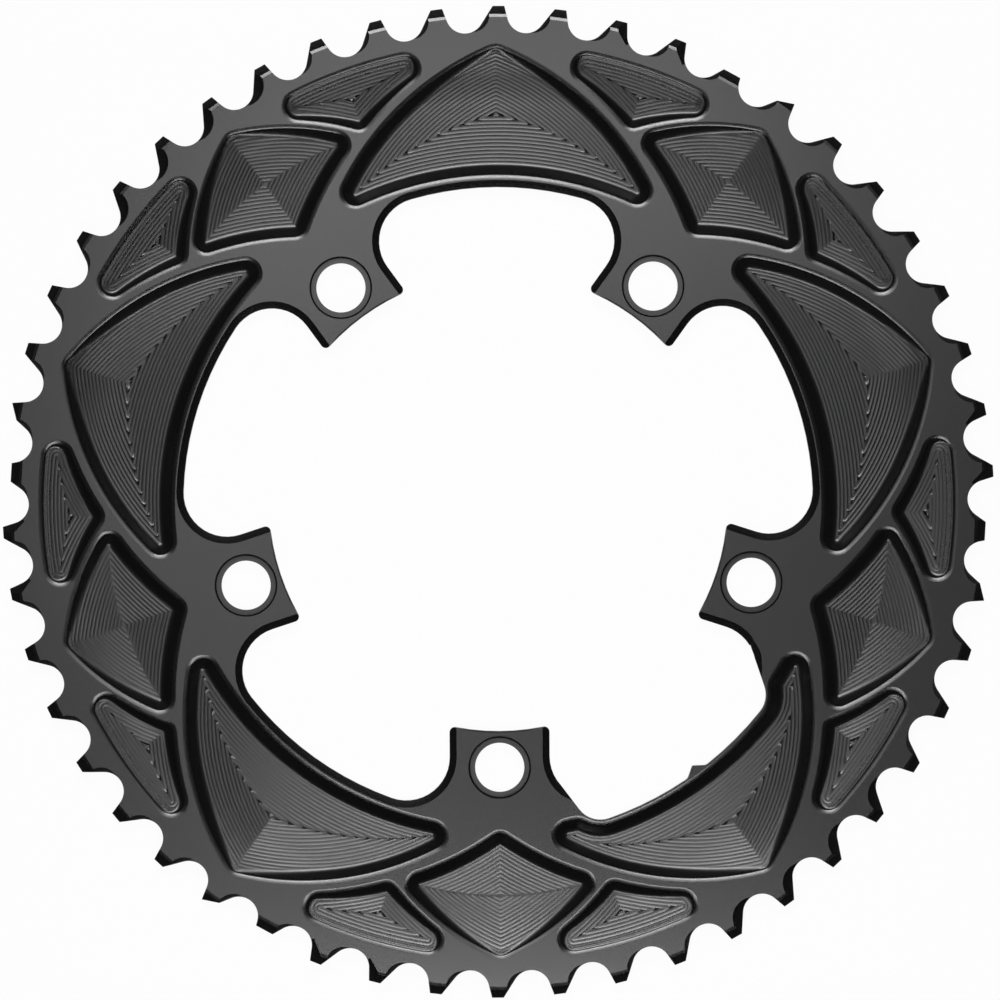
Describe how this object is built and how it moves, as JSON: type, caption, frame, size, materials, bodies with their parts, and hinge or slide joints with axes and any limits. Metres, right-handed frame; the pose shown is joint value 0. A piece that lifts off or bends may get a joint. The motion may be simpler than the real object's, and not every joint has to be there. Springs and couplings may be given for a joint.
{
  "type": "bicycle chainring",
  "caption": "Outer chainring for a five-arm crank: a toothed aluminium ring with bolt tabs, machined pockets in its front face and a wide central opening; it drives the chain.",
  "frame": {"origin": "centre of the ring on the plane of its back face", "axes": "+Z along the ring's axis, out of the front face; +Y towards the top of the picture; the ring lies on its back"},
  "size_m": [0.2052, 0.2054, 0.0042],
  "materials": {
    "anodised_black": "satin black anodised"
  },
  "bodies": {
    "root": {"chainring": "anodised_black"}
  },
  "joints": []
}
